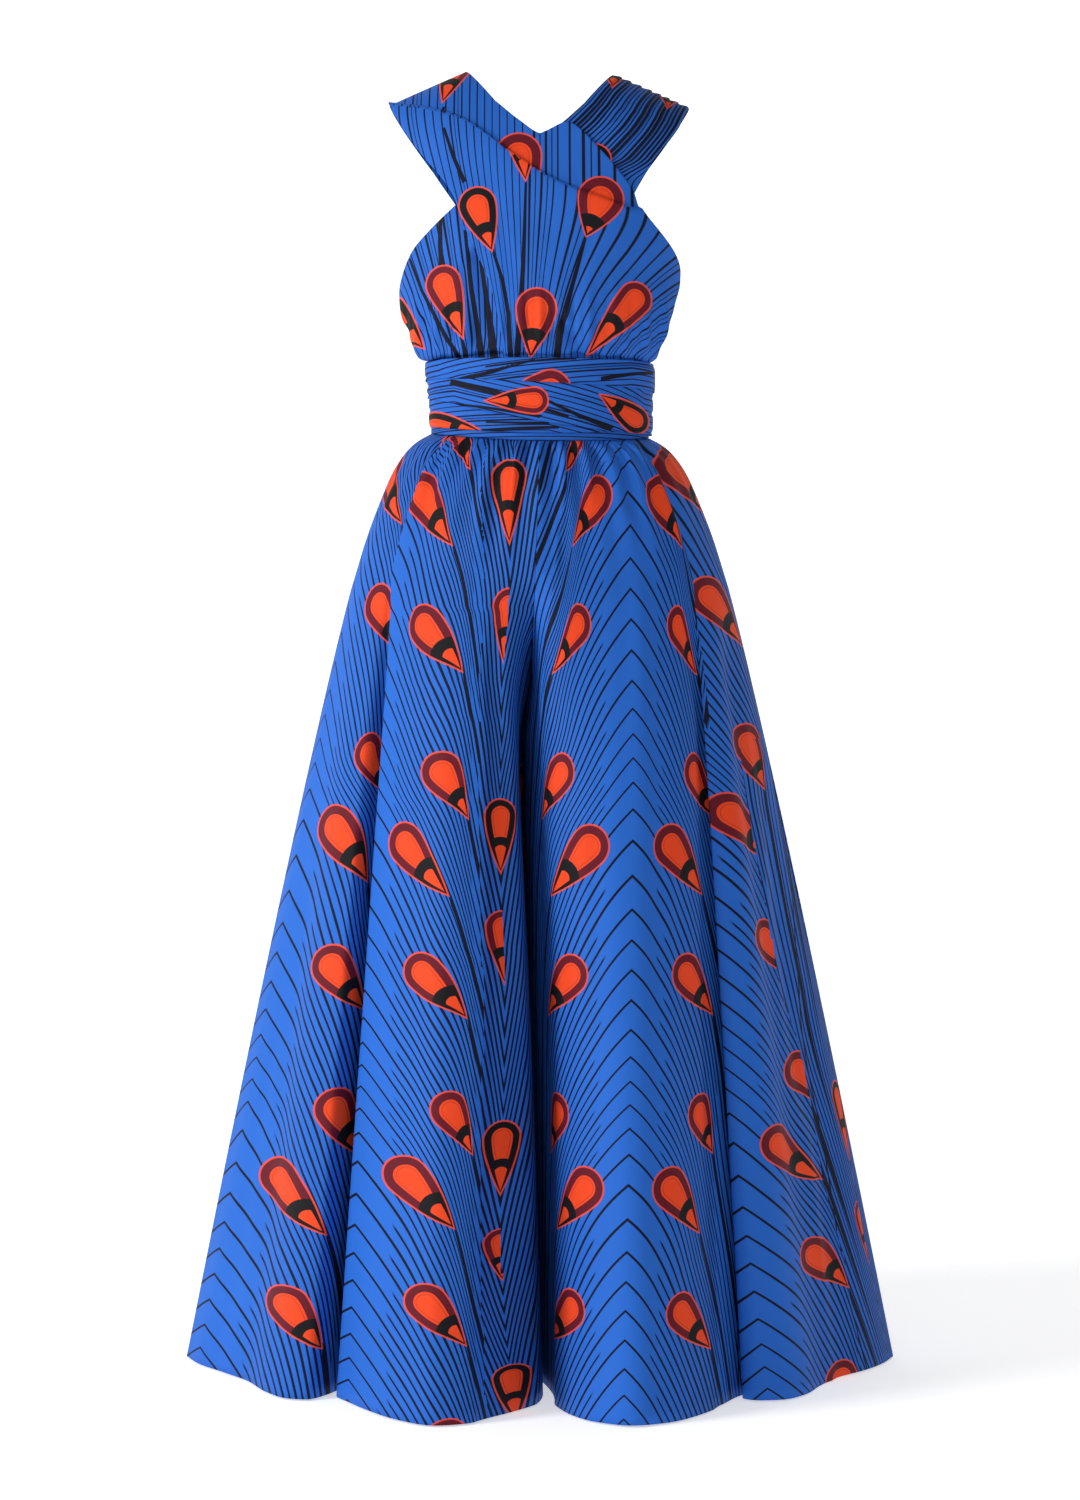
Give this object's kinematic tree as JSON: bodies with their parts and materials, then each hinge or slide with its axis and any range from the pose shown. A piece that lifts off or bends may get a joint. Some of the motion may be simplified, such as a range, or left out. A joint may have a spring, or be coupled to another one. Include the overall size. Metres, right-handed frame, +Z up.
{
  "type": "wide leg jumpsuit",
  "caption": "Sleeveless infinity jumpsuit of printed cotton: flared gathered legs, wound waist wraps, and wide straps that cross on the chest and the back; worn form, open and empty.",
  "frame": {"origin": "midway between the two straps where they lie on the shoulders, at shoulder height", "axes": "+Z up along the garment, -Y to the front, +X to the wearer's left"},
  "size_m": [0.8178, 0.7372, 1.4839],
  "materials": {
    "leg_print": "matt wax-printed cotton",
    "band_print": "matt wax-printed cotton",
    "strap_print": "matt wax-printed cotton",
    "wrap_print": "matt wax-printed cotton"
  },
  "bodies": {
    "root": {"left_leg_front": "leg_print", "left_leg_back": "leg_print", "right_leg_front": "leg_print", "right_leg_back": "leg_print", "waistband": "band_print", "strap_under": "strap_print", "strap_over": "strap_print", "wrap_lower": "wrap_print", "wrap_middle": "wrap_print", "wrap_upper": "wrap_print"}
  },
  "joints": []
}
